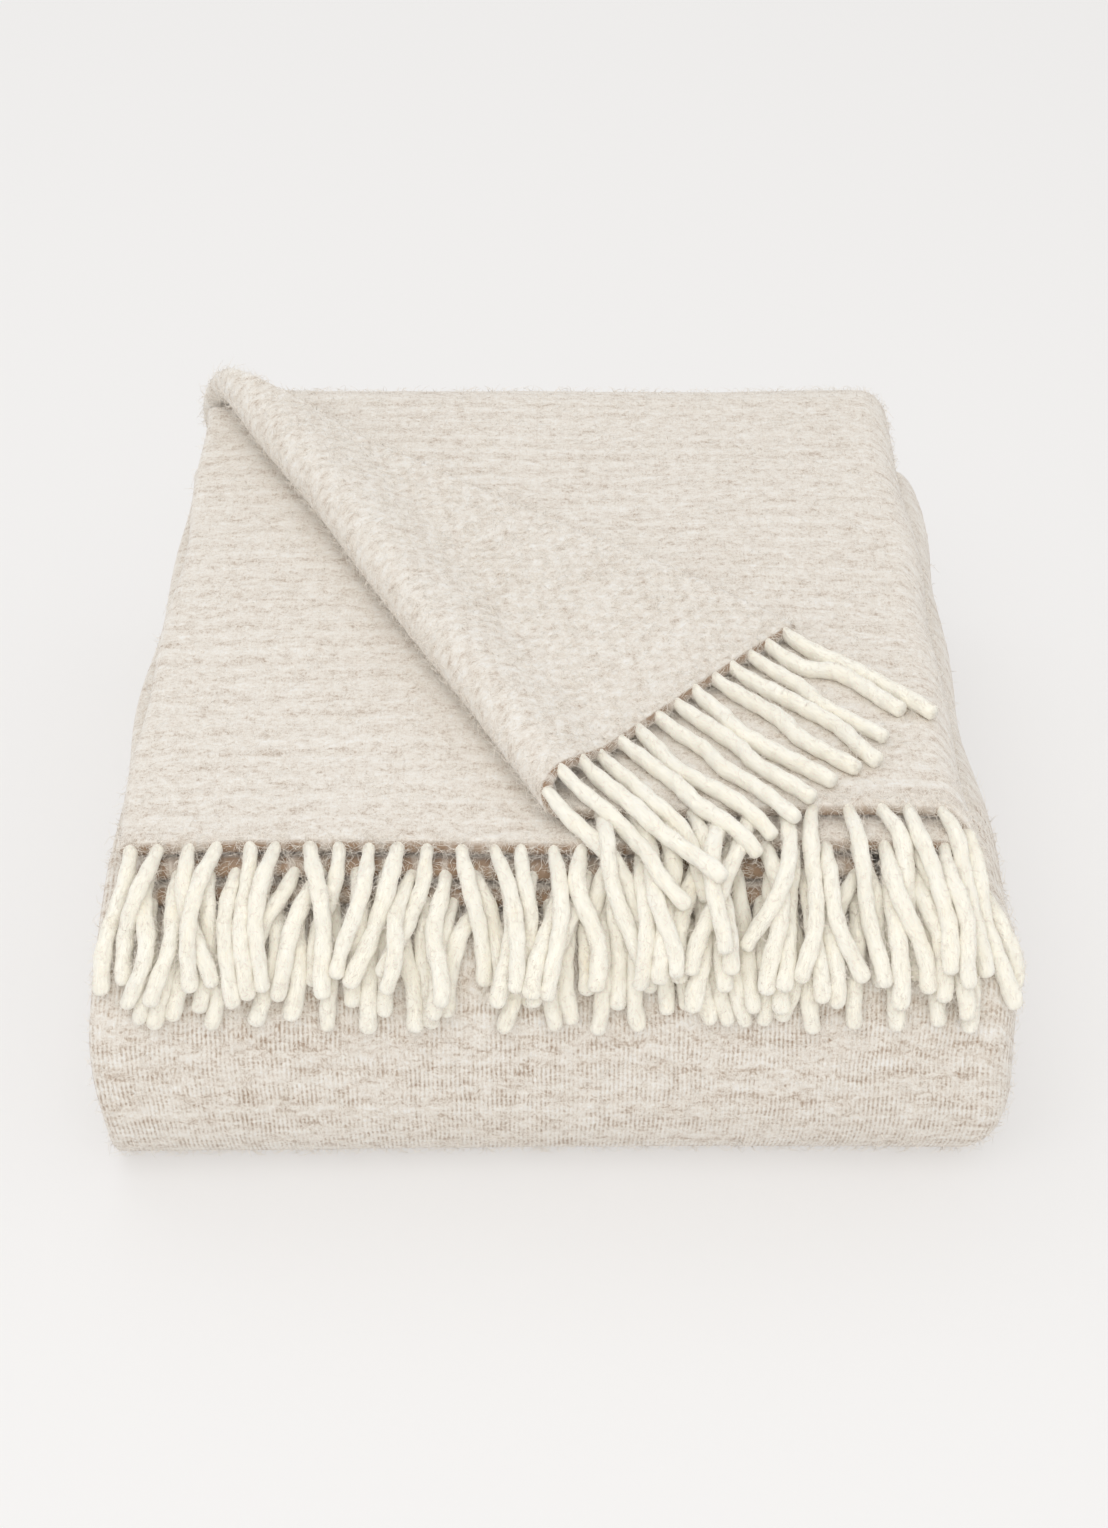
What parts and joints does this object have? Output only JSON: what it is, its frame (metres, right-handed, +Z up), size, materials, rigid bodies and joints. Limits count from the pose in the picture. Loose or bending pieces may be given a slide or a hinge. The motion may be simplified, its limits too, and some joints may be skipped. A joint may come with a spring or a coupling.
{
  "type": "folded throw blanket",
  "caption": "Folded throw blanket of brushed oatmeal wool, rolled flat, with twisted cream fringe over the front and a corner turned back across the top.",
  "frame": {"origin": "middle of the footprint, on the surface that the throw lies on", "axes": "+X to the right seen from the fringed front, +Y from the fringed front to the rear fold, +Z up"},
  "size_m": [0.32, 0.4116, 0.1462],
  "materials": {
    "cloth_wool": "brushed oatmeal melange wool, matt and softly napped",
    "fringe_wool": "cream twisted wool strands, matt, lightly felted"
  },
  "bodies": {
    "folded_roll": {"base_panel": "cloth_wool", "upper_panel": "cloth_wool", "lower_panel": "cloth_wool", "core_panel": "cloth_wool", "front_outer_fold": "cloth_wool", "rear_inner_fold": "cloth_wool", "front_inner_fold": "cloth_wool", "rear_fold_lower": "cloth_wool", "inner_fringe_1": "fringe_wool", "inner_fringe_2": "fringe_wool", "inner_fringe_3": "fringe_wool", "inner_fringe_4": "fringe_wool"},
    "top_panel": {"rear_fold_upper": "cloth_wool", "top_leaf": "cloth_wool", "second_leaf": "cloth_wool", "third_leaf": "cloth_wool", "fourth_leaf": "cloth_wool", "right_outer_fold": "cloth_wool", "right_inner_fold": "cloth_wool", "left_fold": "cloth_wool", "second_leaf_fringe": "fringe_wool", "third_leaf_fringe": "fringe_wool", "fourth_leaf_fringe": "fringe_wool", "top_leaf_strand_01": "fringe_wool", "top_leaf_strand_02": "fringe_wool", "top_leaf_strand_03": "fringe_wool", "top_leaf_strand_04": "fringe_wool", "top_leaf_strand_05": "fringe_wool", "top_leaf_strand_06": "fringe_wool", "top_leaf_strand_07": "fringe_wool", "top_leaf_strand_08": "fringe_wool", "top_leaf_strand_09": "fringe_wool", "top_leaf_strand_10": "fringe_wool", "top_leaf_strand_11": "fringe_wool", "top_leaf_strand_12": "fringe_wool", "top_leaf_strand_13": "fringe_wool"},
    "turned_corner": {"corner_flap": "cloth_wool", "flap_crease": "cloth_wool", "flap_strand_01": "fringe_wool", "flap_strand_02": "fringe_wool", "flap_strand_03": "fringe_wool", "flap_strand_04": "fringe_wool", "flap_strand_05": "fringe_wool", "flap_strand_06": "fringe_wool", "flap_strand_07": "fringe_wool", "flap_strand_08": "fringe_wool", "flap_strand_09": "fringe_wool", "flap_strand_10": "fringe_wool", "flap_strand_11": "fringe_wool", "flap_strand_12": "fringe_wool", "flap_strand_13": "fringe_wool", "flap_strand_14": "fringe_wool"}
  },
  "joints": [
    {"name": "top_panel_turn", "type": "hinge", "parent": "folded_roll", "child": "top_panel", "pos_m": [0, 0.20511, 0.05332], "axis": [-1, 0, 0], "range_deg": [0, 95]},
    {"name": "corner_flap_turn", "type": "hinge", "parent": "top_panel", "child": "turned_corner", "pos_m": [-0.00131, -0.15219, 0.13695], "axis": [0.4103, -0.9119, 0], "range_deg": [0, 180], "deforming": ["flap_crease"]}
  ]
}
